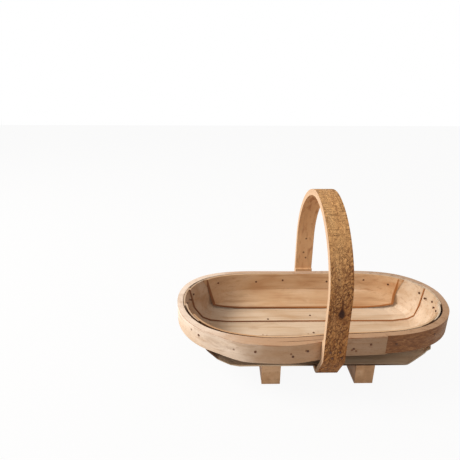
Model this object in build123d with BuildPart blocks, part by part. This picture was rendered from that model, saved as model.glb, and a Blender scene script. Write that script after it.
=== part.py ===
from build123d import *
import math
import os

# Small wooden trug: a bent rim hoop with lapped ends, five thin boards bent up
# at both ends and nailed inside the rim, a bow handle that goes round the
# outside of the rim and under the boards, and two cross bearers as feet.
#
# All lengths are in millimetres. +X runs along the basket, +Y to its rear,
# +Z up. The origin lies on the ground, midway across the handle's bow.

# Rim: one bent strip. Its plan is a superellipse, fuller at the front left.
rim_length = 400.0
rim_width = 189.5
rim_powers_share = (4.27, 2.0)  # exponents of the plan, along and across
rim_thickness = 8.0
rim_depth = 28.0              # height of the strip
rim_top = 88.4                # top edge at mid length, above the ground
sheer = 6.0                   # the ends of the top edge stand this much higher
front_bulge = 9.0             # the front left is this much fuller
bulge_starts = 40.0           # the bulge starts this far right of the middle
bulge_ends = 60.0             # and is full this far left of it

# Lap of the rim's ends along the front
lap_merge = 150.0             # the outer end leaves the ring this far left
lap_free = 100.0              # and lies wholly outside it from here
lap_full = 50.0               # full thickness as far as here
lap_thin = 34.0               # shaved thin from this far right of the middle
lap_end = 82.0                # the outer end stops here
lap_thin_share = 0.18         # of the strip's thickness
lap_gap = 0.2
tail_start = 158.0            # the inner end's slanted cut, at the ring's inner face
tail_stop = 118.0             # the same cut where it meets the lap
tail_gap = 0.5

# Boards
board_thickness = 2.4
board_lay_gap = 0.2           # between a board and the one that laps it
board_shift = 3.0             # the boards lie this much nearer the rear
rim_seat_gap = 0.3
centre_half_width = 26.0
centre_seam = 19.8            # inner edge of the second boards, from the boards' middle
side_seam = 54.4              # inner edge of the side boards
side_end_seam = 47.0          # the same edge where the boards have turned up
front_reach = 86.4            # outer edge of the front second board
rear_reach = 76.4             # outer edge of the rear second board
second_end_reach = 64.0       # both where the boards have turned up
second_straight = 122.0       # the edges run straight as far as this
second_turn = 158.0           # and have turned by here
end_turn = 172.0              # the side boards' edges, on the end walls

# Levels of the boards' curve, from the flat bottom to the rim
flat_half_length = 128.0
flat_half_width = 90.0
rocker_half_length = 157.0
rocker_half_width = 90.0
rocker_rise = 3.0
bilge_half_length = 171.0
bilge_half_width = 89.0
bilge_rise = 9.2
turn_half_length = 186.0
turn_half_width = 86.2
bottom_shift = 4.0            # the boards' bottom lies this much further right
flat_powers_share = (9.0, 7.0)
rocker_powers_share = (7.0, 4.0)
bilge_powers_share = (6.0, 3.0)

# The side boards lean out and have a curve of their own
side_flat_half_length = 126.0
side_flat_half_width = 57.0
side_rocker_half_length = 148.0
side_rocker_half_width = 60.0
side_rocker_rise = 3.0        # over their lower edge
side_bilge_half_length = 163.0
side_bilge_half_width = 67.0
side_bilge_rise = 7.5
side_turn_half_length = 176.0
side_turn_half_width = 83.0
side_flat_powers_share = (12.0, 10.0)
side_rocker_powers_share = (10.0, 8.0)
side_bilge_powers_share = (10.0, 5.0)
side_turn_powers_share = (4.7, 2.2)

# How much of a layer's step lifts, or draws in, each level of the curve
lift_shares = (1.0, 1.0, 0.85, 0.35, 0.0)
inset_shares = (0.2, 0.3, 0.55, 1.0, 1.0)
shift_shares = (1.0, 1.0, 1.0, 0.4, 0.0)
side_lift_shares = (1.0, 0.9, 0.8, 0.3, 0.0)
side_inset_shares = (0.3, 0.4, 0.6, 1.0, 1.0)

# Handle: a bow with an oval outer line
handle_width = 28.0
handle_place = 8.0            # its middle, right of the basket's middle
handle_half_span = 113.0
handle_widest = 152.4         # height of the widest place
handle_top = 259.5
handle_thickness = 8.7
handle_power_share = 1.85
knee_half_span = 112.0        # outer face just below the rim
knee_height = 66.0
toe_half_span = 84.5          # outer face where the bow turns under
inner_knee_half_span = 100.0
inner_toe_half_span = 82.4
handle_bottom = 24.0
toe_radius = 18.0
shoulder_above_rim = 4.0      # the leg is thicker from here down
handle_seat_gap = 0.2
scarf_front = 60.0            # where the bow's two ends meet, under the boards
scarf_rear = 40.0
scarf_height = 27.6
scarf_gap = 0.3

# Feet
foot_width = 26.0
foot_length = 159.2
foot_spacing = 131.0
foot_height = 31.3            # under the centre board
foot_notch_gap = 0.3

# Nails
head_radius = 1.6
head_thickness = 1.0
shank_radius = 0.8
nail_gap = 0.05
head_proud = 0.4
rim_nail_drop = 11.0          # below the rim's top edge
nail_stagger = 3.0
nail_tip_cover = 1.5          # wood left before a nail's tip
side_lean = 1.9               # the side boards' faces lie this much deeper at the nails
corner_lean = 2.6             # and this much more near the ends
end_lean = 0.5                # the centre board's face at the end nails
end_second_lean = 3.1         # the second boards' faces there
end_skew = 0.9                # deeper on the left, shallower on the right
rear_nail_places = (-146.0, -76.0, -30.0, 46.0, 110.0, 152.0)
front_nail_places = (-165.0, 96.0, 153.0)
lap_nail_places = (-91.0, -44.0, -25.0, 39.0, 61.0)
end_nail_places = (-44.0, -20.0, 0.0, 26.0, 48.0)
handle_nail_offset = 6.0
handle_nail_drop = 6.0
handle_nail_pitch = 9.0
under_nail_places = (-10.0, 34.0)    # from the boards' middle
foot_nail_offset = 6.0
foot_nail_length = 20.0
foot_nail_inset = 4.0         # from the second boards' inner edges

# Cutting blocks run past what they cut by this much
overrun = 20.0
outline_steps = 20
bow_steps = 8                 # in a quarter of the bow
nudge_share = 0.001           # of half a turn, to find the outline's direction

# Sizes worked out from the ones above
rim_half_length = rim_length / 2
rim_half_width = rim_width / 2
rim_bottom = rim_top - rim_depth
sheer_radius = (rim_half_length**2 + sheer**2) / (2 * sheer)
lay_step = board_thickness + board_lay_gap
seat_half_length = rim_half_length - rim_thickness - rim_seat_gap
seat_half_width = rim_half_width - rim_thickness - rim_seat_gap
side_bottom = foot_height + 2 * lay_step + board_lay_gap
seat_top = rim_top + sheer + board_thickness


def blend(value, start, stop):
    """Smooth step from 0 at start to 1 at stop."""
    share = min(max((value - start) / (stop - start), 0), 1)
    return share * share * (3 - 2 * share)


def bulge_at(x):
    """How much fuller the front is at x."""
    return front_bulge * blend(x, bulge_starts, -bulge_ends)


def outline_point(turn, half_length, half_width, powers, bulge_share):
    """Point of a plan outline: turn 0 is the right end, a quarter turn the rear."""
    along = math.cos(turn)
    reach = half_width
    side = 1
    if math.sin(turn) < 0:
        reach += bulge_share * bulge_at(half_length * along)
        side = -1
    flatness = 1 - min(abs(along), 1) ** powers[0]
    return (half_length * along, side * reach * flatness ** (1 / powers[1]))


def outline(half_length, half_width, powers, bulge_share=0, shift=0):
    """Closed sketch of a plan outline round the ring's middle, or shifted to the right of it."""
    points = []
    for step in range(outline_steps):
        turn = 2 * math.pi * step / outline_steps
        x, y = outline_point(turn, half_length, half_width, powers, bulge_share)
        points.append((shift + x, ring_middle + y))
    with BuildSketch() as plan:
        with BuildLine():
            Spline(*points, periodic=True)
        make_face()
    return plan.sketch


def ring_reach(x):
    """Half width of the ring's outer face at x, along the front."""
    flatness = 1 - abs(x / rim_half_length) ** rim_powers_share[0]
    return (rim_half_width + bulge_at(x)) * flatness ** (1 / rim_powers_share[1])


def lap_thickness(x):
    """How far the lap's outer face stands off the ring's at x."""
    shaved = 1 - (1 - lap_thin_share) * blend(x, -lap_full, lap_thin)
    return (rim_thickness + lap_gap) * blend(x, -lap_merge, -lap_free) * shaved


handle_left = handle_place - handle_width / 2
lap_at_handle = ring_reach(handle_left) + lap_thickness(handle_left)
ring_middle = (lap_at_handle - rim_half_width) / 2
board_middle = ring_middle + board_shift


def lap_plan(root_depth=0):
    """Closed sketch of the lap's outer layer, rooted in the ring's thickness at its left."""
    lap_steps = outline_steps
    outer = []
    inner = []
    for step in range(lap_steps + 1):
        x = -lap_merge + (lap_merge + lap_end) * step / lap_steps
        reach = ring_middle - ring_reach(x)
        root = rim_thickness / 2 * (1 - blend(x, -lap_merge, -tail_stop))
        outer.append((x, reach - lap_thickness(x)))
        inner.append((x, reach + root - lap_gap + root_depth))
    with BuildSketch() as plan:
        with BuildLine():
            Spline(*outer)
            Line(outer[-1], inner[-1])
            Spline(*reversed(inner))
            Line(inner[0], outer[0])
        make_face()
    return plan.sketch


def sheer_block(low, high):
    """Band of the whole plan between two heights, both with the rim's sheer."""
    half = rim_half_length + overrun
    rise = sheer_at(half)
    with BuildPart(mode=Mode.PRIVATE) as block:
        with BuildSketch(Plane.XZ):
            with BuildLine():
                ThreePointArc((-half, low + rise), (0, low), (half, low + rise))
                Line((half, low + rise), (half, high + rise))
                ThreePointArc((half, high + rise), (0, high), (-half, high + rise))
                Line((-half, high + rise), (-half, low + rise))
            make_face()
        extrude(amount=rim_width, both=True)
    return block.part


def sheer_at(x):
    """Rise of the rim's top edge at x, over its height at mid length."""
    return sheer_radius - math.sqrt(sheer_radius**2 - x**2)


# Nails
def edge_place(turn, inset, drop, facing):
    """Plane at the ring, inset from its outer face; facing is 1 for out, -1 for in."""
    size = (rim_half_length, rim_half_width, rim_powers_share, 1)
    nudge = math.pi * nudge_share
    x, y = outline_point(turn, *size)
    x0, y0 = outline_point(turn - nudge, *size)
    x1, y1 = outline_point(turn + nudge, *size)
    length = math.hypot(x1 - x0, y1 - y0)
    nx = (y1 - y0) / length
    ny = (x0 - x1) / length
    height = rim_top + sheer_at(x) - drop
    spot = (x - inset * nx, ring_middle + y - inset * ny, height)
    return Plane(origin=spot, z_dir=(facing * nx, facing * ny, 0))


def nail_shape(length, gap=0):
    """Nail along its own axis, its head just proud of the origin."""
    with BuildPart(mode=Mode.PRIVATE) as nail:
        with BuildSketch(Plane.XY.offset(head_proud)):
            Circle(head_radius + gap)
        extrude(amount=-head_thickness - gap)
        with BuildSketch(Plane.XY.offset(head_proud)):
            Circle(shank_radius + gap)
        extrude(amount=-length - head_proud - gap)
    return nail.part


def nails_at(spots, length, gap=0):
    """Every nail of one length."""
    nail = nail_shape(length, gap)
    with BuildPart(mode=Mode.PRIVATE) as group:
        for spot in spots:
            add(spot.location * nail)
    return group.part


def stagger(number):
    return nail_stagger * (number % 2)


board_inset = rim_thickness + rim_seat_gap + lay_step + board_thickness
board_nail_length = board_inset - nail_tip_cover

rear_spots = []
for number, x in enumerate(rear_nail_places):
    turn = math.acos(x / rim_half_length)
    inset = board_inset - lay_step + side_lean
    if abs(x) > second_straight:
        inset += corner_lean
    rear_spots.append(edge_place(turn, inset, rim_nail_drop + stagger(number), -1))
front_spots = []
for number, x in enumerate(front_nail_places):
    turn = -math.acos(x / rim_half_length)
    front_spots.append(edge_place(turn, 0, rim_nail_drop + stagger(number), 1))
lap_spots = []
for number, x in enumerate(lap_nail_places):
    turn = -math.acos(x / rim_half_length)
    stand_off = lap_thickness(x)
    lap_spots.append(edge_place(turn, -stand_off, rim_nail_drop + 2 * stagger(number), 1))
right_spots = []
left_spots = []
for number, y in enumerate(end_nail_places):
    turn = math.asin(y / rim_half_length)
    drop = rim_nail_drop + stagger(number)
    lean = end_lean if y == 0 else end_second_lean
    right_spots.append(edge_place(turn, board_inset + lean - end_skew, drop, -1))
    left_spots.append(edge_place(math.pi - turn, board_inset + lean + end_skew, drop, -1))

rim_spots = rear_spots + right_spots + left_spots + front_spots + lap_spots

front_leg_spots = []
rear_leg_spots = []
for row in range(2):
    height = rim_top - handle_nail_drop - handle_nail_pitch * row
    for side in (-1, 1):
        x = handle_place + side * handle_nail_offset + stagger(row)
        front_leg_spots.append(Plane(origin=(x, -handle_half_span, height), z_dir=(0, -1, 0)))
        rear_leg_spots.append(Plane(origin=(x, handle_half_span, height), z_dir=(0, 1, 0)))
leg_nail_length = handle_half_span - inner_knee_half_span + rim_thickness / 2


# Rim
def ring_plan(inset, gap=0):
    """Closed sketch of the ring's outline, inset from its outer face."""
    half_length = rim_half_length - inset + gap
    half_width = rim_half_width - inset + gap
    return outline(half_length, half_width, rim_powers_share, 1)


with BuildPart() as rim:
    with BuildSketch(Plane.XY.offset(rim_bottom - overrun)):
        add(ring_plan(0))
        add(ring_plan(rim_thickness), mode=Mode.SUBTRACT)
        with BuildLine():
            inner_y = ring_middle - ring_reach(-tail_start) + 2 * rim_thickness
            outer_y = ring_middle - ring_reach(-tail_stop)
            Polyline(
                (-tail_start, inner_y),
                (-tail_stop, outer_y),
                (tail_gap - tail_stop, outer_y),
                (tail_gap - tail_start, inner_y),
                close=True,
            )
        make_face(mode=Mode.SUBTRACT)
        add(lap_plan())
    extrude(amount=rim_depth + 2 * overrun)
    add(sheer_block(rim_bottom, rim_top), mode=Mode.INTERSECT)
    add(nails_at(rim_spots, board_nail_length, nail_gap), mode=Mode.SUBTRACT)
    add(nails_at(front_leg_spots + rear_leg_spots, leg_nail_length, nail_gap), mode=Mode.SUBTRACT)


# Boards
def base_levels(offset):
    """Outlines of the bottom boards' surface, moved in by an offset."""
    heights = (
        foot_height,
        foot_height + rocker_rise,
        foot_height + bilge_rise,
        rim_bottom,
        seat_top,
    )
    lengths = (
        flat_half_length,
        rocker_half_length,
        bilge_half_length,
        turn_half_length,
        seat_half_length,
    )
    widths = (
        flat_half_width,
        rocker_half_width,
        bilge_half_width,
        turn_half_width,
        seat_half_width,
    )
    powers = (
        flat_powers_share,
        rocker_powers_share,
        bilge_powers_share,
        rim_powers_share,
        rim_powers_share,
    )
    plans = []
    for level in range(len(heights)):
        plan = outline(
            lengths[level] - inset_shares[level] * offset,
            widths[level],
            powers[level],
            1 if level > 2 else 0,
            bottom_shift * shift_shares[level],
        )
        height = heights[level] + lift_shares[level] * offset
        plans.append(Plane.XY.offset(height) * plan)
    return plans


def side_levels(offset):
    """Outlines of the side boards' surface, moved in by an offset."""
    heights = (
        side_bottom,
        side_bottom + side_rocker_rise,
        side_bottom + side_bilge_rise,
        rim_bottom,
        seat_top,
    )
    lengths = (
        side_flat_half_length,
        side_rocker_half_length,
        side_bilge_half_length,
        side_turn_half_length,
        seat_half_length - 2 * lay_step - board_lay_gap,
    )
    widths = (
        side_flat_half_width,
        side_rocker_half_width,
        side_bilge_half_width,
        side_turn_half_width,
        seat_half_width,
    )
    powers = (
        side_flat_powers_share,
        side_rocker_powers_share,
        side_bilge_powers_share,
        side_turn_powers_share,
        rim_powers_share,
    )
    plans = []
    for level in range(len(heights)):
        inset = side_inset_shares[level] * offset
        bulge_share = 1 if level > 2 else 0
        plan = outline(
            lengths[level] - inset,
            widths[level] - inset,
            powers[level],
            bulge_share,
            bottom_shift * shift_shares[level],
        )
        plans.append(Plane.XY.offset(heights[level] + side_lift_shares[level] * offset) * plan)
    return plans


def shell(outer_levels, inner_levels):
    """Thin tub between two lofted surfaces, open at the top."""
    with BuildPart(mode=Mode.PRIVATE) as tub:
        loft(sections=[plan.face() for plan in outer_levels], ruled=True)
        loft(sections=[plan.face() for plan in inner_levels], ruled=True, mode=Mode.SUBTRACT)
        add(sheer_block(-overrun, rim_top), mode=Mode.INTERSECT)
    return tub.part


def wood_cut(layer, plan, nails):
    """Board of one plan out of a layer of wood, with its nail holes."""
    with BuildPart(mode=Mode.PRIVATE) as board:
        add(layer)
        with BuildSketch(Plane.XY):
            add(plan)
        extrude(amount=rim_top + overrun, mode=Mode.INTERSECT)
        for spots, length in nails:
            add(nails_at(spots, length, nail_gap), mode=Mode.SUBTRACT)
    return board.part


def centre_plan():
    """Closed sketch of the centre board."""
    with BuildSketch() as plan:
        with Locations((0, board_middle)):
            Rectangle(rim_length, 2 * centre_half_width)
    return plan.sketch


def second_plan(side, reach):
    """Closed sketch of a second board; side is 1 for the rear one, -1 for the front one."""
    inner = board_middle + side * centre_seam
    wide = board_middle + side * reach
    narrow = board_middle + side * second_end_reach
    with BuildSketch() as plan:
        with BuildLine():
            FilletPolyline(
                (-rim_half_length, inner),
                (-rim_half_length, narrow),
                (-second_turn, narrow),
                (-second_straight, wide),
                (second_straight, wide),
                (second_turn, narrow),
                (rim_half_length, narrow),
                (rim_half_length, inner),
                radius=board_thickness,
                close=True,
            )
        make_face()
    return plan.sketch


def side_plan(side):
    """Closed sketch of all that lies beyond a side board's inner edge."""
    inner = board_middle + side * side_seam
    end_inner = board_middle + side * side_end_seam
    outer = board_middle + side * rim_width
    with BuildSketch() as plan:
        with BuildLine():
            Polyline(
                (-rim_half_length, end_inner),
                (-end_turn, end_inner),
                (-second_turn, inner),
                (second_turn, inner),
                (end_turn, end_inner),
                (rim_half_length, end_inner),
                (rim_half_length, outer),
                (-rim_half_length, outer),
                close=True,
            )
        make_face()
    return plan.sketch


# Nails through the floor
def floor_nail_spots(side):
    """Nails down into one foot: two hold the second boards, two the side boards."""
    spots = []
    for number, row in enumerate((centre_seam, side_seam)):
        layer_top = foot_height + (number + 1) * lay_step + board_thickness
        for across in (-1, 1):
            x = side * foot_spacing / 2 + across * foot_nail_offset
            y = board_middle + across * (row + foot_nail_inset)
            spots.append(Plane(origin=(x, y, layer_top + number * board_lay_gap)))
    return spots


left_foot_spots = floor_nail_spots(-1)
right_foot_spots = floor_nail_spots(1)
foot_spots = left_foot_spots + right_foot_spots
under_spots = []
for number, y in enumerate(under_nail_places):
    x = handle_place + stagger(number)
    top = foot_height + number % 2 * lay_step + board_thickness
    under_spots.append(Plane(origin=(x, board_middle + y, top)))
under_nail_length = foot_height - handle_bottom

bottom_nails = (
    (left_spots + right_spots, board_nail_length),
    (foot_spots, foot_nail_length),
    (under_spots, under_nail_length),
)
front_nails = ((front_spots, board_nail_length),)
rear_nails = ((rear_spots, board_nail_length),)
floor_nails = ((foot_spots, foot_nail_length),)
first_layer = shell(base_levels(0), base_levels(board_thickness))
second_layer = shell(base_levels(lay_step), base_levels(lay_step + board_thickness))
side_layer = shell(side_levels(0), side_levels(board_thickness))

with BuildPart() as centre_board:
    add(wood_cut(first_layer, centre_plan(), bottom_nails))
with BuildPart() as second_board_front:
    add(wood_cut(second_layer, second_plan(-1, front_reach), bottom_nails + front_nails))
with BuildPart() as second_board_rear:
    add(wood_cut(second_layer, second_plan(1, rear_reach), bottom_nails + rear_nails))
with BuildPart() as side_board_front:
    add(wood_cut(side_layer, side_plan(-1), front_nails + floor_nails))
with BuildPart() as side_board_rear:
    add(wood_cut(side_layer, side_plan(1), rear_nails + floor_nails))


# Handle
def bow_arc(half_span, top):
    """Points of the bow's upper line, from its left widest place to its right one."""
    points = []
    for step in range(2 * bow_steps + 1):
        turn = math.pi * (1 - step / (2 * bow_steps))
        along = math.cos(turn)
        flatness = 1 - abs(along) ** handle_power_share
        rise = (top - handle_widest) * max(flatness, 0) ** (1 / handle_power_share)
        points.append((half_span * along, handle_widest + rise))
    return points


ledge = rim_top + shoulder_above_rim
inner_half_span = handle_half_span - handle_thickness
with BuildPart() as handle:
    with BuildSketch(Plane.YZ.offset(handle_place)):
        with BuildLine():
            Spline(*bow_arc(handle_half_span, handle_top))
            FilletPolyline(
                (handle_half_span, handle_widest),
                (knee_half_span, knee_height),
                (toe_half_span, handle_bottom),
                (-toe_half_span, handle_bottom),
                (-knee_half_span, knee_height),
                (-handle_half_span, handle_widest),
                radius=toe_radius,
            )
        make_face()
        with BuildLine():
            Spline(*bow_arc(inner_half_span, handle_top - handle_thickness))
            Polyline(
                (inner_half_span, handle_widest),
                (inner_half_span, ledge),
                (inner_knee_half_span, ledge),
                (inner_knee_half_span, rim_bottom),
                (inner_toe_half_span, foot_height),
                (-inner_toe_half_span, foot_height),
                (-inner_knee_half_span, rim_bottom),
                (-inner_knee_half_span, ledge),
                (-inner_half_span, ledge),
                (-inner_half_span, handle_widest),
            )
        make_face(mode=Mode.SUBTRACT)
        with Locations(((scarf_rear - scarf_front) / 2, scarf_height)):
            Rectangle(scarf_front + scarf_rear + scarf_gap, scarf_gap, mode=Mode.SUBTRACT)
        with Locations((-scarf_front, handle_bottom)):
            Rectangle(
                scarf_gap,
                scarf_height - handle_bottom,
                align=(Align.CENTER, Align.MIN),
                mode=Mode.SUBTRACT,
            )
        with Locations((scarf_rear, scarf_height)):
            Rectangle(
                scarf_gap,
                foot_height - scarf_height,
                align=(Align.CENTER, Align.MIN),
                mode=Mode.SUBTRACT,
            )
    extrude(amount=handle_width / 2, both=True)
    with BuildSketch(Plane.XY.offset(rim_bottom - handle_seat_gap)):
        add(ring_plan(0, handle_seat_gap))
        with Locations((0, -handle_seat_gap)):
            add(lap_plan(rim_thickness / 2))
    extrude(amount=ledge - rim_bottom + handle_seat_gap, mode=Mode.SUBTRACT)
    add(nails_at(front_leg_spots + rear_leg_spots, leg_nail_length, nail_gap), mode=Mode.SUBTRACT)
    add(nails_at(under_spots, under_nail_length, nail_gap), mode=Mode.SUBTRACT)


# Feet
def foot_block(side):
    """One cross bearer with a notch for the centre board."""
    seat = foot_height + lay_step
    with BuildPart(mode=Mode.PRIVATE) as block:
        with BuildSketch(Plane.XY):
            with Locations((side * foot_spacing / 2, ring_middle)):
                Rectangle(foot_width, foot_length)
        extrude(amount=seat)
        with BuildSketch(Plane.XY.offset(foot_height)):
            with Locations((0, board_middle)):
                Rectangle(rim_length, 2 * (centre_half_width + foot_notch_gap))
        extrude(amount=lay_step, mode=Mode.SUBTRACT)
        add(nails_at(foot_spots, foot_nail_length, nail_gap), mode=Mode.SUBTRACT)
    return block.part


with BuildPart() as foot_left:
    add(foot_block(-1))
with BuildPart() as foot_right:
    add(foot_block(1))

# Nails
with BuildPart() as nails_left_end:
    add(nails_at(left_spots, board_nail_length))
with BuildPart() as nails_right_end:
    add(nails_at(right_spots, board_nail_length))
with BuildPart() as nails_rear_side:
    add(nails_at(rear_spots, board_nail_length))
with BuildPart() as nails_front_side:
    add(nails_at(front_spots, board_nail_length))
with BuildPart() as nails_rim_lap:
    add(nails_at(lap_spots, board_nail_length))
with BuildPart() as handle_nails_front:
    add(nails_at(front_leg_spots, leg_nail_length))
with BuildPart() as handle_nails_rear:
    add(nails_at(rear_leg_spots, leg_nail_length))
with BuildPart() as handle_nails_under:
    add(nails_at(under_spots, under_nail_length))
with BuildPart() as foot_nails_left:
    add(nails_at(left_foot_spots, foot_nail_length))
with BuildPart() as foot_nails_right:
    add(nails_at(right_foot_spots, foot_nail_length))

rim.part.label = "rim"
handle.part.label = "handle"
centre_board.part.label = "centre_board"
second_board_front.part.label = "second_board_front"
second_board_rear.part.label = "second_board_rear"
side_board_front.part.label = "side_board_front"
side_board_rear.part.label = "side_board_rear"
foot_left.part.label = "foot_left"
foot_right.part.label = "foot_right"
nails_left_end.part.label = "nails_left_end"
nails_right_end.part.label = "nails_right_end"
nails_rear_side.part.label = "nails_rear_side"
nails_front_side.part.label = "nails_front_side"
nails_rim_lap.part.label = "nails_rim_lap"
handle_nails_front.part.label = "handle_nails_front"
handle_nails_rear.part.label = "handle_nails_rear"
handle_nails_under.part.label = "handle_nails_under"
foot_nails_left.part.label = "foot_nails_left"
foot_nails_right.part.label = "foot_nails_right"

os.makedirs("parts", exist_ok=True)
export_step(rim.part, "parts/rim.step")
export_step(handle.part, "parts/handle.step")
export_step(centre_board.part, "parts/centre_board.step")
export_step(second_board_front.part, "parts/second_board_front.step")
export_step(second_board_rear.part, "parts/second_board_rear.step")
export_step(side_board_front.part, "parts/side_board_front.step")
export_step(side_board_rear.part, "parts/side_board_rear.step")
export_step(foot_left.part, "parts/foot_left.step")
export_step(foot_right.part, "parts/foot_right.step")
export_step(nails_left_end.part, "parts/nails_left_end.step")
export_step(nails_right_end.part, "parts/nails_right_end.step")
export_step(nails_rear_side.part, "parts/nails_rear_side.step")
export_step(nails_front_side.part, "parts/nails_front_side.step")
export_step(nails_rim_lap.part, "parts/nails_rim_lap.step")
export_step(handle_nails_front.part, "parts/handle_nails_front.step")
export_step(handle_nails_rear.part, "parts/handle_nails_rear.step")
export_step(handle_nails_under.part, "parts/handle_nails_under.step")
export_step(foot_nails_left.part, "parts/foot_nails_left.step")
export_step(foot_nails_right.part, "parts/foot_nails_right.step")
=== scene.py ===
import bpy
import math
from mathutils import Matrix, Vector


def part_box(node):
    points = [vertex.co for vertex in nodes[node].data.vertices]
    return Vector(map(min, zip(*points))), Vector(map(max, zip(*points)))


# Small wooden trug: boards inside a lapped rim, a bow handle round it, two feet.
# Lengths are metres, in the frame's own axes: x along the basket, z up.

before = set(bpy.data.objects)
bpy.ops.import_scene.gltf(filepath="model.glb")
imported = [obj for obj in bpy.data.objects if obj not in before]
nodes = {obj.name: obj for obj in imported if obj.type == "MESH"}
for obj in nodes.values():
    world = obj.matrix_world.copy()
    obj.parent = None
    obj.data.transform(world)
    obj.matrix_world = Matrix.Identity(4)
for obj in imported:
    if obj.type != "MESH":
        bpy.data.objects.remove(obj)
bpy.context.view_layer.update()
footLow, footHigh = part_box("foot_left")
rimLow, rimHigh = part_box("rim")
ringY = (footLow.y + footHigh.y) / 2  # middle of the basket from front to back
bowCentre = 0.14  # height about which the bow turns


# Node helpers
class Graph:
    def __init__(self, name):
        self.material = bpy.data.materials.new(name)
        self.material.use_nodes = True
        self.tree = self.material.node_tree
        self.shader = self.tree.nodes["Principled BSDF"]
        self.output = self.tree.nodes["Material Output"]

    def node(self, kind, **settings):
        made = self.tree.nodes.new(kind)
        for key, value in settings.items():
            setattr(made, key, value)
        return made

    def wire(self, source, target):
        self.tree.links.new(source, target)

    def feed(self, socket, value):
        if isinstance(value, bpy.types.NodeSocket):
            self.wire(value, socket)
        else:
            socket.default_value = value

    def math(self, operation, a, b=0.0, clamp=False):
        made = self.node("ShaderNodeMath", operation=operation, use_clamp=clamp)
        self.feed(made.inputs[0], a)
        self.feed(made.inputs[1], b)
        return made.outputs[0]

    def times(self, a, b):
        return self.math("MULTIPLY", a, b)

    def plus(self, a, b):
        return self.math("ADD", a, b)

    def minus(self, a, b):
        return self.math("SUBTRACT", a, b)

    def reach(self, a, b):
        # length of the two parts together
        return self.math("SQRT", self.plus(self.times(a, a), self.times(b, b)))

    def place(self):
        coords = self.node("ShaderNodeTexCoord")
        split = self.node("ShaderNodeSeparateXYZ")
        self.wire(coords.outputs["Object"], split.inputs[0])
        return split.outputs

    def facing(self, axis):
        # how far the surface looks along an axis of the frame, from -1 to 1
        coords = self.node("ShaderNodeTexCoord")
        split = self.node("ShaderNodeSeparateXYZ")
        self.wire(coords.outputs["Normal"], split.inputs[0])
        return split.outputs[axis]

    def join(self, x, y, z):
        made = self.node("ShaderNodeCombineXYZ")
        for socket, value in zip(made.inputs, (x, y, z)):
            self.feed(socket, value)
        return made.outputs[0]

    def stretch(self, vector, scale, shift=(0, 0, 0)):
        made = self.node("ShaderNodeMapping")
        self.wire(vector, made.inputs["Vector"])
        made.inputs["Scale"].default_value = scale
        made.inputs["Location"].default_value = shift
        return made.outputs[0]

    def noise(self, vector, detail=3.0, rough=0.55, twist=0.0):
        made = self.node("ShaderNodeTexNoise")
        self.wire(vector, made.inputs["Vector"])
        made.inputs["Scale"].default_value = 1.0
        made.inputs["Detail"].default_value = detail
        made.inputs["Roughness"].default_value = rough
        made.inputs["Distortion"].default_value = twist
        return made.outputs[0]

    def ramp(self, value, stops):
        made = self.node("ShaderNodeValToRGB")
        self.wire(value, made.inputs[0])
        line = made.color_ramp
        line.elements[0].position, line.elements[0].color = stops[0][0], tint(stops[0][1])
        line.elements[1].position, line.elements[1].color = stops[-1][0], tint(stops[-1][1])
        for spot, colour in stops[1:-1]:
            line.elements.new(spot).color = tint(colour)
        return made.outputs[0]

    def band(self, value, low, high, lowOut=0.0, highOut=1.0):
        # eases from one value to another while the input runs from low to high
        made = self.node("ShaderNodeMapRange", interpolation_type="SMOOTHSTEP")
        self.wire(value, made.inputs[0])
        for index, number in enumerate((low, high, lowOut, highOut)):
            made.inputs[index + 1].default_value = number
        return made.outputs[0]

    def mix(self, share, a, b):
        made = self.node("ShaderNodeMix", data_type="RGBA", blend_type="MIX")
        self.feed(made.inputs[0], share)
        self.feed(made.inputs[6], a if isinstance(a, bpy.types.NodeSocket) else tint(a))
        self.feed(made.inputs[7], b if isinstance(b, bpy.types.NodeSocket) else tint(b))
        return made.outputs[2]

    def bump(self, height, strength, depth, under=None):
        made = self.node("ShaderNodeBump")
        self.wire(height, made.inputs["Height"])
        made.inputs["Strength"].default_value = strength
        made.inputs["Distance"].default_value = depth
        if under is not None:
            self.wire(under, made.inputs["Normal"])
        return made.outputs[0]


def tint(colour):
    # colours are written as they look, 0 to 255, and turned to linear here
    return tuple(linear(part / 255) for part in colour) + (1,)


def linear(part):
    return part / 12.92 if part < 0.04045 else ((part + 0.055) / 1.055) ** 2.4


# Grain directions: each gives a vector of (along, across, depth) in metres
def boardGrain(g):
    x, y, z = g.place()
    rise = g.times(g.band(x, -0.12, 0.12, -1, 1), z)
    return g.join(g.plus(x, rise), y, z)


def ringGrain(g):
    # along runs round the rim from the front middle, where the bow hides its start
    x, y, z = g.place()
    meanRadius, depthScale = 0.16, 0.1
    shapedX = g.math("DIVIDE", x, rimHigh.x)
    shapedY = g.math("DIVIDE", g.minus(y, ringY), (rimHigh.y - rimLow.y) / 2)
    turn = g.math("ARCTAN2", shapedX, shapedY)
    return g.join(g.times(turn, meanRadius), z, g.times(g.reach(shapedX, shapedY), depthScale))


def bowGrain(g):
    # along runs round the bow from its top
    x, y, z = g.place()
    meanRadius = 0.115
    rise = g.minus(z, bowCentre)
    return g.join(g.times(g.math("ARCTAN2", y, rise), meanRadius), x, g.reach(y, rise))


def footGrain(g):
    x, y, z = g.place()
    return g.join(y, x, z)


def marks(g, spots, size, strength):
    # share that is strongest in ragged spots at some places
    place = g.join(*g.place())
    ragged = g.times(g.noise(g.stretch(place, (700, 700, 700)), 2), size)
    share = None
    for spot in spots:
        gap = g.node("ShaderNodeVectorMath", operation="DISTANCE")
        g.wire(place, gap.inputs[0])
        gap.inputs[1].default_value = spot
        here = g.band(g.plus(gap.outputs["Value"], ragged), size * 1.7, size * 1.1, 0, strength)
        share = here if share is None else g.math("MAXIMUM", share, here)
    return share


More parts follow.
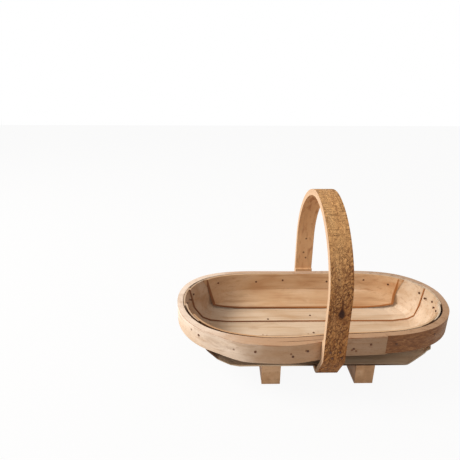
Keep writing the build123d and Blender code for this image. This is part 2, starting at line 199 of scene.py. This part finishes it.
# Wood built from a look: colours from pale to dark, streaks, fibres, stains and flecks
def woodLayers(g, along, look):
    shift = look["shift"]
    broad = g.noise(g.stretch(along, (7, 38, 38), (shift, shift, 0)), 3, 0.5, 0.4)
    streak = g.noise(g.stretch(along, (5, 210, 210), (0, shift, shift)), 4, 0.6, 0.3)
    fibre = g.noise(g.stretch(along, (26, 1500, 1500), (shift, 0, 0)), 2, 0.6)
    base = g.ramp(broad, ((0.3, look["pale"]), (0.5, look["middle"]), (0.7, look["deep"])))
    streaked = g.mix(g.band(streak, 0.5, 0.72, 0, look["streak"]), base, look["line"])
    fibred = g.mix(g.band(fibre, 0.5, 0.75, 0, look["fibre"]), streaked, look["line"])
    stain = g.noise(g.stretch(along, (18, 46, 46), (0, 3, shift)), 5, 0.6, 0.8)
    stained = g.mix(g.band(stain, 0.56, 0.74, 0, look["stain"]), fibred, look["dirt"])
    speck = g.noise(g.stretch(along, (240, 620, 620), (shift, 1, 2)), 2, 0.5)
    flecked = g.mix(g.band(speck, 0.68, 0.74, 0, look["fleck"]), stained, look["dirt"])
    return flecked, streak, fibre


def woodFinish(g, colour, streak, fibre, look, under=None):
    g.wire(colour, g.shader.inputs["Base Color"])
    rough = look["rough"]
    g.wire(g.band(streak, 0.3, 0.8, rough - 0.08, rough + 0.1), g.shader.inputs["Roughness"])
    g.shader.inputs["Specular IOR Level"].default_value = look["shine"]
    coarse = g.bump(streak, look["bump"], 0.0006, under)
    g.wire(g.bump(fibre, look["bump"], 0.00025, coarse), g.shader.inputs["Normal"])


# Boards: one wood for the floor, a browner one for the two sides
boardLook = {
    "pale": (222, 199, 172),
    "middle": (211, 185, 155),
    "deep": (194, 162, 128),
    "line": (170, 128, 90),
    "dirt": (150, 106, 70),
    "edge": (120, 68, 36),  # lower edge at the left: raw edge and painted shadow of the lap
    "edgeRight": (176, 112, 58),
    "under": (56, 30, 16),  # painted shade on the outer face just below the rim
    # where the painted shade under the rim lies
    "underFacing": (0.001, 0.006),
    "underHeights": (0.0275, 0.032),
    "underLeft": (-0.06, 0.03, -0.008),  # the shade begins this much higher at the left
    "underRight": (0.07, 0.15, 0.92, 0.35),  # and fades towards the right end
    # painted shade at the left end, inside
    "shade": (120, 72, 40),
    "shadeReach": (-0.09, -0.175),
    "marks": (), "markSize": 0.0015,
    "streak": 0.45, "fibre": 0.35, "stain": 0.25, "fleck": 0.3,
    "rough": 0.62, "shine": 0.2, "bump": 0.3, "shift": 0.0,
}
seamMiddle = ringY + 0.003
secondSeam = {"straight": 0.0198, "ends": 0.0198, "turned": (0.1, 0.2), "width": 0.0005}
frontSeam = dict(secondSeam, width=0.0011)
sideSeam = {"straight": 0.0544, "ends": 0.047, "turned": (0.158, 0.172), "width": 0.0005}


def seamEdge(g, seam):
    # share that is high on a board's lower edge, at its distance from the middle; the dark line
    # there is the raw edge with painted shadow of the lap
    x, y, z = g.place()
    far = g.band(g.math("ABSOLUTE", x), *seam["turned"], 0, seam["straight"] - seam["ends"])
    across = g.math("ABSOLUTE", g.minus(y, seamMiddle))
    off = g.math("ABSOLUTE", g.minus(across, g.minus(seam["straight"], far)))
    return g.band(off, seam["width"], seam["width"] * 0.5, 0, 0.8)


def underRimShade(g, look):
    # painted shade: share that is high on a board's outer face just below the rim
    x, y, z = g.place()
    outX = g.times(g.facing(0), x)
    outY = g.times(g.facing(1), g.minus(y, ringY))
    outer = g.band(g.plus(outX, outY), *look["underFacing"])
    height = g.plus(z, g.band(x, *look["underLeft"], 0))
    shade = g.times(g.band(height, *look["underHeights"]), g.band(x, *look["underRight"]))
    return g.times(outer, shade)


def woodMaterial(name, grain, look, seam=None):
    g = Graph(name)
    colour, streak, fibre = woodLayers(g, grain(g), look)
    x, y, z = g.place()
    if seam:
        # dark seam line: raw board edge and painted shadow of the lap
        edgeTone = g.mix(g.band(x, -0.08, 0.06), look["edge"], look["edgeRight"])
        colour = g.mix(seamEdge(g, seam), colour, edgeTone)
        # painted shade under the rim
        under = underRimShade(g, look)
        colour = g.mix(under, colour, look["under"])
    # painted shade at the left end, strongest on faces turned away from the key lamp
    turnedAway = g.band(g.facing(0), -0.2, 0.4, 0.5, 1)
    leftEndShade = g.times(g.band(x, *look["shadeReach"], 0, 0.5), turnedAway)
    colour = g.mix(leftEndShade, colour, look["shade"])
    if look["marks"]:
        colour = g.mix(marks(g, look["marks"], look["markSize"], 0.7), colour, look["dirt"])
    woodFinish(g, colour, streak, fibre, look)
    if seam:
        # no shine where the painted shade under the rim lies
        g.wire(g.band(under, 0, 1, look["shine"], 0), g.shader.inputs["Specular IOR Level"])
    return g.material


def dress(pieces, material):
    for name in pieces:
        for place in nodes[name].material_slots:
            place.material = material


centreLook = dict(boardLook, shift=21.0)
centreLook["marks"] = (
    (-0.0008, -0.0055, 0.034),
    (-0.0711, -0.0072, 0.034),
    (-0.0651, -0.0083, 0.034),
    (0.0686, -0.0088, 0.034),
)
frontLook = dict(boardLook, shift=33.0)
sideLook = dict(boardLook, pale=(216, 182, 146), middle=(206, 168, 128), deep=(188, 142, 100))
sideLook.update(line=(166, 116, 74), shift=5.0, streak=0.5)
sideNames = ["side_board_front", "side_board_rear"]
dress(["centre_board"], woodMaterial("centreWood", boardGrain, centreLook))
dress(["second_board_rear"], woodMaterial("secondWood", boardGrain, boardLook, secondSeam))
dress(["second_board_front"], woodMaterial("frontWood", boardGrain, frontLook, frontSeam))
dress(sideNames, woodMaterial("sideWood", boardGrain, sideLook, sideSeam))
print("boards dressed")

# Rim: cream at the left, tan in the middle of the front, brown bark past the lap; the front's
# darkening to the right is partly painted shade
rimLook = {
    "pale": (242, 224, 206),
    "middle": (232, 210, 188),
    "deep": (214, 186, 158),
    "line": (172, 130, 92),
    "dirt": (134, 94, 60),
    # tan and brown on the front: the rim's own tone and partly painted shade
    "tan": (166, 124, 86), "tanReach": (-0.15, -0.05), "tanStrength": 0.82,
    "brown": (138, 98, 62), "brownReach": (-0.01, 0.06), "brownStrength": 0.8,
    "top": (178, 138, 104), "topReach": (-0.17, -0.09, 0.25, 0.8),
    "mottle": (-0.1, 0.02, 0.15, 1),
    "barkDark": (96, 56, 30), "bark": (124, 76, 42), "barkPale": (166, 118, 76),
    "barkReach": (0.21, 0.13, 0.2, 0.9),
    "rust": (150, 84, 44),  # along the top corner
    "spot": (106, 64, 38),
    "streak": 0.45, "fibre": 0.4, "stain": 0.4, "fleck": 0.5,
    "rough": 0.66, "shine": 0.2, "bump": 0.5, "shift": 2.0,
    "lapEnd": 0.082,
    "lipDrop": 0.0064, "sheer": 0.15,  # how the top corner dips towards the middle
    "markSize": 0.0017,
    "marks": (
        (-0.1755, -0.0635, 0.0835),
        (-0.1188, -0.0993, 0.0775),
        (-0.0914, -0.1058, 0.0792),
        (-0.0461, -0.107, 0.0757),
        (-0.0263, -0.104, 0.0783),
        (0.0368, -0.0919, 0.0693),
        (0.0424, -0.0919, 0.0679),
    ),
}


def rimMaterial(look):
    g = Graph("rimWood")
    along = ringGrain(g)
    colour, streak, fibre = woodLayers(g, along, look)
    x, y, z = g.place()
    front = g.band(y, ringY + 0.02, ringY - 0.05)
    outward = g.band(g.math("ABSOLUTE", g.facing(2)), 0.75, 0.45)
    # tones change along the front at uneven places, darker to the right: partly the rim's own tone,
    # partly painted shade
    cloud = g.noise(g.stretch(along, (30, 30, 30), (4, 0, 0)), 4, 0.6)
    uneven = g.plus(x, g.times(g.minus(cloud, 0.5), 0.12))
    tan = g.times(g.band(uneven, *look["tanReach"]), front)
    brown = g.times(g.band(uneven, *look["brownReach"]), front)
    toned = g.mix(tan, colour, g.mix(look["tanStrength"], colour, look["tan"]))
    toned = g.mix(brown, toned, g.mix(look["brownStrength"], colour, look["brown"]))
    topShare = g.times(g.band(g.facing(2), 0.8, 0.95), g.band(uneven, *look["topReach"]))
    toned = g.mix(topShare, toned, look["top"])
    mottle = g.noise(g.stretch(along, (130, 330, 130), (6, 0, 0)), 5, 0.7)
    mottleShare = g.times(g.band(mottle, 0.53, 0.66, 0, 0.5), g.band(uneven, *look["mottle"]))
    toned = g.mix(mottleShare, toned, look["dirt"])
    # rusty line along the top corner
    corner = g.plus(rimHigh.z - look["lipDrop"], g.times(g.times(x, x), look["sheer"]))
    lip = g.times(g.band(g.minus(corner, z), 0.0012, 0.0002), outward)
    lipShare = g.times(lip, g.band(cloud, 0.4, 0.6, 0.1, 0.7))
    toned = g.mix(g.times(lipShare, front), toned, look["rust"])
    # scaly bark past the end of the lap
    past = g.times(g.band(x, look["lapEnd"] - 0.0004, look["lapEnd"] + 0.0004), front)
    barkShare = g.times(g.times(past, outward), g.band(uneven, *look["barkReach"]))
    scales = g.noise(g.stretch(along, (90, 420, 420), (0, 0, 8)), 5, 0.7, 1.2)
    bark = g.ramp(scales, ((0.35, look["barkDark"]), (0.5, look["bark"]), (0.68, look["barkPale"])))
    barked = g.mix(barkShare, toned, bark)
    marked = g.mix(marks(g, look["marks"], look["markSize"], 0.75), barked, look["spot"])
    woodFinish(g, marked, streak, fibre, look, g.bump(scales, 0.5, 0.0008))
    return g.material


dress(["rim"], rimMaterial(rimLook))
print("rim dressed")

# Handle: a rough riven outer face with fissures, pale sawn edges, smooth inner face; the edges'
# paleness is partly painted highlight
handleLook = {
    "pale": (230, 186, 134),
    "middle": (212, 162, 106),
    "deep": (186, 130, 76),
    "line": (118, 66, 30),
    "dirt": (82, 44, 22),
    "low": (0.74, 0.57, 0.43),  # painted shade: how much darker each colour channel is low on the legs
    "gold": (228, 172, 110),
    # sawn edges: the wood's own pale tone and partly painted highlight
    "edge": (208, 176, 146),
    "inner": (212, 168, 126),
    "blot": (140, 74, 34),
    "streak": 0.5, "fibre": 0.5, "stain": 0.4, "fleck": 0.6,
    "rough": 0.75, "shine": 0.2, "bump": 0.7, "shift": 9.0,
    "relief": 0.0028,
    "knot": (0.0104, 0.1374), "knotRadii": (0.0040, 0.0072), "knotColour": (44, 18, 14),
    "knotRing": (150, 92, 44),
    "tail": (0.0104, 0.1494), "tailRadii": (0.0018, 0.011), "tailColour": (84, 40, 18),
    "markSize": 0.0017,
    "marks": (
        (-0.0067, -0.082, 0.243),
        (0.0041, -0.1085, 0.1095),
        (0.0031, 0.1043, 0.1733),
        (0.0093, 0.1043, 0.1475),
        (0.0062, 0.1043, 0.1219),
        (0.0104, 0.1043, 0.112),
        (0.0215, -0.1085, 0.1098),
    ),
}


def oval(g, x, z, middle, radii, ragged):
    # distance from the middle of an upright oval, in its radii, with a ragged edge
    wide = g.math("DIVIDE", g.minus(x, middle[0]), radii[0])
    high = g.math("DIVIDE", g.minus(z, middle[1]), radii[1])
    return g.plus(g.reach(wide, high), g.times(ragged, 0.8))


def knotted(g, base, warp, look):
    # knot on the front leg, with a dark tail above it
    x, y, z = g.place()
    front = g.math("LESS_THAN", y, 0.0)
    knot = oval(g, x, z, look["knot"], look["knotRadii"], warp)
    tail = oval(g, x, z, look["tail"], look["tailRadii"], warp)
    ringed = g.mix(g.times(g.band(knot, 2.3, 1.6, 0, 0.5), front), base, look["knotRing"])
    tailed = g.mix(g.times(g.band(tail, 1.6, 0.9, 0, 0.7), front), ringed, look["tailColour"])
    return g.mix(g.times(g.band(knot, 1.7, 1.0, 0, 0.92), front), tailed, look["knotColour"])


def handleMaterial(look):
    g = Graph("handleWood")
    along = bowGrain(g)
    colour, streak, fibre = woodLayers(g, along, look)
    x, y, z = g.place()
    # riven face: warped cells low on the legs, ripples higher up, gold on the ridges
    warp = g.noise(g.stretch(along, (150, 150, 150)), 4, 0.65)
    warped = g.node("ShaderNodeVectorMath", operation="MULTIPLY_ADD")
    g.wire(g.join(warp, warp, 0.0), warped.inputs[0])
    warped.inputs[1].default_value = (0.012, 0.009, 0)
    g.wire(along, warped.inputs[2])
    cells = g.node("ShaderNodeTexVoronoi", feature="DISTANCE_TO_EDGE")
    g.wire(g.stretch(warped.outputs[0], (190, 260, 60)), cells.inputs["Vector"])
    cells.inputs["Scale"].default_value = 1.0
    crack = g.band(cells.outputs["Distance"], 0.14, 0.01)
    ripple = g.noise(g.stretch(along, (620, 60, 60), (5, 0, 0)), 3, 0.6)
    ridges = g.noise(g.stretch(warped.outputs[0], (250, 330, 60)), 4, 0.72)
    low = g.band(z, 0.235, 0.18)
    patch = g.noise(g.stretch(along, (40, 90, 20), (3, 1, 0)), 3, 0.6)
    crackShare = g.times(g.times(crack, low), g.band(patch, 0.35, 0.6, 0.2, 0.7))
    rippleShare = g.times(g.band(ripple, 0.46, 0.34), g.minus(1.0, low))
    pitShare = g.times(g.band(ridges, 0.47, 0.38, 0, 0.85), g.band(low, 0, 1, 0.4, 1))
    gold = g.mix(g.band(ridges, 0.51, 0.6, 0, 0.8), colour, look["gold"])
    pitted = g.mix(pitShare, gold, look["line"])
    rippled = g.mix(g.times(rippleShare, 0.45), pitted, look["line"])
    cracked = g.mix(crackShare, rippled, look["line"])
    # painted shade, darker low on the legs
    shaded = g.node("ShaderNodeVectorMath", operation="MULTIPLY")
    g.wire(cracked, shaded.inputs[0])
    shaded.inputs[1].default_value = look["low"]
    riven = g.mix(g.band(z, 0.24, 0.13), cracked, shaded.outputs[0])
    outer = knotted(g, riven, warp, look)
    # sawn edges and the inner face are smooth
    edgeShare = g.band(g.math("ABSOLUTE", g.facing(0)), 0.45, 0.75)
    outwardY = g.times(g.facing(1), y)
    outwardZ = g.times(g.facing(2), g.minus(z, bowCentre))
    innerShare = g.band(g.plus(outwardY, outwardZ), 0.0, -0.03)
    blot = g.noise(g.stretch(along, (34, 120, 40), (0, 7, 0)), 4, 0.6, 0.6)
    innerColour = g.mix(0.7, colour, look["inner"])
    innerColour = g.mix(g.band(blot, 0.52, 0.68, 0, 0.55), innerColour, look["blot"])
    inner = g.mix(innerShare, outer, innerColour)
    # pale sawn edges, partly painted highlight
    edged = g.mix(edgeShare, inner, g.mix(0.75, colour, look["edge"]))
    # relief of the riven face alone
    pits = g.minus(ridges, g.times(crackShare, 0.6))
    pits = g.minus(pits, g.times(rippleShare, 0.25))
    relief = g.times(pits, g.minus(1.0, g.math("MAXIMUM", edgeShare, innerShare)))
    marked = g.mix(marks(g, look["marks"], look["markSize"], 0.85), edged, look["dirt"])
    woodFinish(g, marked, streak, fibre, look, g.bump(relief, 1.0, look["relief"]))
    return g.material


dress(["handle"], handleMaterial(handleLook))

# Feet: sawn across, a little browner than the floor
footLook = dict(boardLook, pale=(216, 176, 138), middle=(198, 154, 114), deep=(172, 130, 94))
footLook["shift"] = 14.0
dress(["foot_left", "foot_right"], woodMaterial("footWood", footGrain, footLook))
print("handle and feet dressed")

# Nails: dull steel with rust
nailLook = {
    "dark": (66, 40, 26),
    "rust": (116, 70, 40),
    "metal": 0.3,
    "rough": 0.6,
}


def nailMaterial(look):
    g = Graph("nailSteel")
    rust = g.noise(g.stretch(g.join(*g.place()), (900, 900, 900)), 3)
    nailColour = g.ramp(rust, ((0.35, look["dark"]), (0.65, look["rust"])))
    g.wire(nailColour, g.shader.inputs["Base Color"])
    g.shader.inputs["Metallic"].default_value = look["metal"]
    g.shader.inputs["Roughness"].default_value = look["rough"]
    g.wire(g.bump(rust, 0.4, 0.0003), g.shader.inputs["Normal"])
    return g.material


dress([name for name in nodes if "nails" in name], nailMaterial(nailLook))
print("nails dressed")

# Floor, world and lamps
studio = {
    "floorSize": 6.0,
    "floorColour": (196, 190, 184),
    "floorRough": 0.9,
    "floorGlow": 0.93,  # the rest of the floor's brightness is lit, so it keeps the shadow
    "skyLight": 0.55,
}
half = studio["floorSize"] / 2
floorMesh = bpy.data.meshes.new("studioFloor")
floorMesh.from_pydata(
    [(-half, -half, 0), (half, -half, 0), (half, half, 0), (-half, half, 0)], [], [(0, 1, 2, 3)]
)
floor = bpy.data.objects.new("studioFloor", floorMesh)
bpy.context.scene.collection.objects.link(floor)
floorGraph = Graph("studioFloor")
floorGraph.shader.inputs["Base Color"].default_value = tint(studio["floorColour"])
floorGraph.shader.inputs["Roughness"].default_value = studio["floorRough"]
rays = floorGraph.node("ShaderNodeLightPath").outputs
glow = floorGraph.node("ShaderNodeEmission")
glow.inputs["Strength"].default_value = 1.0
blend = floorGraph.node("ShaderNodeMixShader")
seenShare = floorGraph.math("ADD", rays["Is Camera Ray"], rays["Is Glossy Ray"], True)
floorGraph.wire(floorGraph.times(seenShare, studio["floorGlow"]), blend.inputs[0])
floorGraph.wire(floorGraph.shader.outputs[0], blend.inputs[1])
floorGraph.wire(glow.outputs[0], blend.inputs[2])
floorGraph.wire(blend.outputs[0], floorGraph.output.inputs[0])
floorMesh.materials.append(floorGraph.material)

world = bpy.data.worlds.new("studio")
bpy.context.scene.world = world
world.use_nodes = True
sky = world.node_tree
litSky = sky.nodes["Background"]  # lights the basket
litSky.inputs[0].default_value = (1, 1, 1, 1)
litSky.inputs[1].default_value = studio["skyLight"]
whiteSky = sky.nodes.new("ShaderNodeBackground")  # shows as the backdrop
whiteSky.inputs[0].default_value = (1, 1, 1, 1)
whiteSky.inputs[1].default_value = 1.0
path = sky.nodes.new("ShaderNodeLightPath")
seen = sky.nodes.new("ShaderNodeMath")
seen.operation = "ADD"
seen.use_clamp = True
sky.links.new(path.outputs["Is Camera Ray"], seen.inputs[0])
sky.links.new(path.outputs["Is Glossy Ray"], seen.inputs[1])
chooser = sky.nodes.new("ShaderNodeMixShader")
sky.links.new(seen.outputs[0], chooser.inputs[0])
sky.links.new(litSky.outputs[0], chooser.inputs[1])
sky.links.new(whiteSky.outputs[0], chooser.inputs[2])
sky.links.new(chooser.outputs[0], sky.nodes["World Output"].inputs[0])


def softLamp(name, place, aim, size, watts):
    data = bpy.data.lights.new(name, "AREA")
    data.shape = "DISK"
    data.size = size
    data.energy = watts
    lamp = bpy.data.objects.new(name, data)
    lamp.location = place
    lamp.rotation_euler = (Vector(aim) - Vector(place)).to_track_quat("-Z", "Y").to_euler()
    bpy.context.scene.collection.objects.link(lamp)


softLamp("keyLamp", (-1.55, 0.0, 1.2), (0, 0, 0.08), 0.8, 37)
softLamp("fillLamp", (0.5, -1.5, 1.1), (0, 0, 0.1), 1.2, 4)
print("studio lit")

# Camera, fitted to the photograph's outline
cameraFit = {
    "place": (-0.13291, -0.53084 + ringY, 0.40646),
    "pan": 0.02008,
    "tilt": -0.36795,
    "roll": 0.00512,
    "focalPixels": 403.74,
    "frameWidth": 460,
    "sensorWidth": 36.0,
    "clipStart": 0.01,
}


def placeCamera(fit):
    pan, tilt, roll = fit["pan"], fit["tilt"], fit["roll"]
    ahead = Vector((math.sin(pan) * math.cos(tilt), math.cos(pan) * math.cos(tilt), math.sin(tilt)))
    level = Vector((math.cos(pan), -math.sin(pan), 0))
    upright = level.cross(ahead)
    right = level * math.cos(roll) + upright * math.sin(roll)
    top = upright * math.cos(roll) - level * math.sin(roll)
    data = bpy.data.cameras.new("photoCamera")
    data.sensor_width = fit["sensorWidth"]
    data.lens = fit["focalPixels"] / fit["frameWidth"] * fit["sensorWidth"]
    data.clip_start = fit["clipStart"]
    camera = bpy.data.objects.new("photoCamera", data)
    turned = Matrix((right, top, -ahead)).transposed().to_4x4()
    camera.matrix_world = Matrix.Translation(Vector(fit["place"])) @ turned
    bpy.context.scene.collection.objects.link(camera)
    bpy.context.scene.camera = camera


placeCamera(cameraFit)
bpy.context.scene.view_settings.view_transform = "Standard"
print("camera placed")
